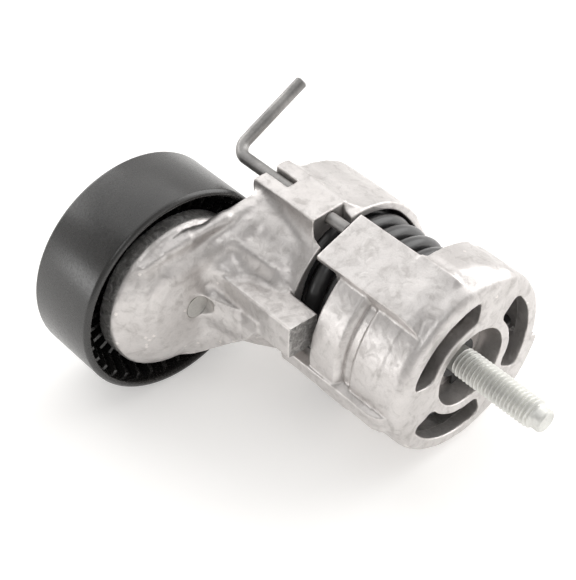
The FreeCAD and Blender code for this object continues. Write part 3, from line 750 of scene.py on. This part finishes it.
# ---------------------------------------------------------------- lock pin
def pin():
    leg = math.radians(25.7)
    d = np.array([math.cos(leg), 0, math.sin(leg)])
    R, yc = 5.0, 98.8
    p0 = np.array([-8.5, 46.3, 29.9])
    p1 = np.array([-8.5, yc - R, 29.9])
    cen = p1 + d * R
    path = [p0 + (p1 - p0) * t for t in np.linspace(0, 1, 24)]
    for t in np.linspace(0, PI / 2, 14)[1:]:
        path.append(cen - d * R * math.cos(t) + np.array([0, 1, 0]) * R * math.sin(t))
    end = np.array([-8.5, yc, 29.9]) + d * 31.9
    last = path[-1]
    path += [last + (end - last) * t for t in np.linspace(0, 1, 14)[1:]]
    v, f = tube(path, 2.1, 28, 0.4)
    ob = make("pin_rod", v, f)
    fix_normals(ob)
    sharp(ob, 30.0)
    paint(ob, "pin")
    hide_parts("lock_pin")
    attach(ob, "pin")


# ---------------------------------------------------------------- spring
def spring():
    turns, pitch, y0, rm = 8.7, 7.1, 7.9, 23.0
    th = np.linspace(0, turns * 2 * PI, int(turns * 64))
    path = np.stack([rm * np.cos(th), y0 + pitch * th / (2 * PI), -rm * np.sin(th)], 1)
    v, f = tube(path, 2.8, 22, 0.3)
    ob = make("coil_spring", v, f)
    fix_normals(ob)
    sharp(ob, 30.0)
    paint(ob, "spring")
    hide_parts("torsion_spring")
    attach(ob, "base")


# ---------------------------------------------------------------- pulley
def pulley():
    w = 27.0
    prof = [(35.6, 0.0), (36.6, 1.0), (36.6, w - 1.0), (35.6, w), (34.6, w), (34.1, w - 1.2), (34.1, 16.6), (23.2, 16.6), (23.2, 22.2),
            (20.0, 22.2), (20.0, 6.9), (23.2, 6.9), (23.2, 13.6), (34.1, 13.6), (34.1, 1.2), (34.6, 0.0)]
    v, f = lathe(soften(prof, 0.5, 3), 180, ARM_X, ARM_Z, 82.35)
    base = len(v)
    # ribs inside the rim, in front of and behind the web
    for k in range(36):
        a = 2 * PI * k / 36
        ca, sa = math.cos(a), math.sin(a)
        for pts in ([(22.9, 9.2), (29.7, 9.2), (32.5, 3.0), (34.4, 3.0), (34.4, 14.0), (22.9, 14.0)],
                    [(22.9, 16.2), (34.4, 16.2), (34.4, 22.4), (22.9, 20.4)]):
            m = len(pts)
            b0 = len(v)
            for s in (-1, 1):
                for r, y in pts:
                    t = 0.65 * s
                    v.append((ARM_X + r * ca - t * sa, 82.35 + y, ARM_Z + r * sa + t * ca))
            f.append(tuple(range(b0, b0 + m)))
            f.append(tuple(range(b0 + m, b0 + 2 * m))[::-1])
            for i in range(m):
                j = (i + 1) % m
                f.append((b0 + i, b0 + m + i, b0 + m + j, b0 + j))
    ob = make("pulley_wheel", v, f)
    fix_normals(ob)
    sharp(ob, 40.0)
    paint(ob, "pulley")
    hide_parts("idler_pulley")
    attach(ob, "pulley")


base_casting()
arm_casting()
bolt()
pin()
spring()
pulley()

# ---------------------------------------------------------------- studio
FLOOR = -0.0338
me = bpy.data.meshes.new("floor")
me.from_pydata([(-3, -3, FLOOR), (3, -3, FLOOR), (3, 3, FLOOR), (-3, 3, FLOOR)], [], [(0, 1, 2, 3)])
floor = bpy.data.objects.new("floor", me)
bpy.context.scene.collection.objects.link(floor)
m, nt, p, co = new_mat("pale_floor")
p.inputs["Base Color"].default_value = (0.80, 0.795, 0.785, 1)
p.inputs["Emission Color"].default_value = (1.0, 0.985, 0.97, 1)
p.inputs["Emission Strength"].default_value = 0.36
p.inputs["Roughness"].default_value = 0.6
p.inputs["Specular IOR Level"].default_value = 0.25
floor.data.materials.append(m)

world = bpy.data.worlds.new("studio")
bpy.context.scene.world = world
world.use_nodes = True
wt = world.node_tree
gen = wt.nodes.new("ShaderNodeTexCoord")
sep = wt.nodes.new("ShaderNodeSeparateXYZ")
wt.links.new(gen.outputs["Generated"], sep.inputs[0])
# bright round the horizon and towards +X, dimmer overhead and to the upper left
dot = wt.nodes.new("ShaderNodeVectorMath")
dot.operation = "DOT_PRODUCT"
dot.inputs[1].default_value = (0.737, 0.35, -1.605)
wt.links.new(gen.outputs["Generated"], dot.inputs[0])
wt.links.new(ramp(wt, remap(wt, dot.outputs["Value"], -1.36, -0.31, 0.0, 1.0), [(0.0, (0.40, 0.395, 0.39)), (0.12, (0.46, 0.455, 0.45)), (0.78, (1.15, 1.135, 1.12)), (1.0, (1.25, 1.235, 1.22))]), wt.nodes["Background"].inputs["Color"])
wt.nodes["Background"].inputs["Strength"].default_value = 0.85
bpy.context.scene.view_settings.view_transform = "Standard"


def area(name, loc, look, size, power, col=(1, 1, 1)):
    l = bpy.data.lights.new(name, "AREA")
    l.shape = "RECTANGLE"
    l.size, l.size_y = size
    l.energy = power
    l.color = col
    o = bpy.data.objects.new(name, l)
    bpy.context.scene.collection.objects.link(o)
    d = np.array(look, float) - np.array(loc, float)
    d /= np.linalg.norm(d)
    up = np.array([0, 0, 1.0]) if abs(d[2]) < 0.95 else np.array([0, 1.0, 0])
    x = np.cross(d, up)
    x /= np.linalg.norm(x)
    y = np.cross(x, d)
    M = Matrix(((x[0], y[0], -d[0], loc[0]), (x[1], y[1], -d[1], loc[1]), (x[2], y[2], -d[2], loc[2]), (0, 0, 0, 1)))
    o.matrix_world = M


area("top_soft", (0.15, 0.25, 0.95), (-0.02, 0.04, 0.0), (1.3, 1.3), 4.2)
area("right_soft", (0.75, -0.15, 0.45), (0.0, 0.03, 0.0), (0.7, 0.8), 3.5)
area("back_soft", (-0.1, 0.9, 0.45), (-0.02, 0.05, 0.0), (0.8, 0.4), 2.2)
area("left_strip", (-0.85, 0.55, 0.14), (0.0, 0.03, 0.0), (0.35, 0.25), 0.8)
area("key_soft", (-0.72, -0.50, 1.0), (0.0, 0.04, 0.0), (0.45, 0.45), 1.6)

# ---------------------------------------------------------------- camera
az, el, roll = math.radians(-42.3517), math.radians(43.5583), math.radians(-0.3235)
fw = np.array([-math.sin(az) * math.cos(el), math.cos(az) * math.cos(el), -math.sin(el)])
rt = np.array([math.cos(az), math.sin(az), 0.0])
dn = np.cross(fw, rt)
r2 = math.cos(roll) * rt + math.sin(roll) * dn
d2 = np.cross(fw, r2)
cam_data = bpy.data.cameras.new("camera")
cam_data.sensor_fit = "HORIZONTAL"
cam_data.sensor_width = 36.0
cam_data.lens = 91.087
cam_data.clip_start = 0.01
cam_data.clip_end = 20.0
cam = bpy.data.objects.new("camera", cam_data)
bpy.context.scene.collection.objects.link(cam)
cam.matrix_world = Matrix(((r2[0], -d2[0], -fw[0], -0.246868), (r2[1], -d2[1], -fw[1], -0.188004), (r2[2], -d2[2], -fw[2], 0.322266), (0, 0, 0, 1)))
bpy.context.scene.camera = cam
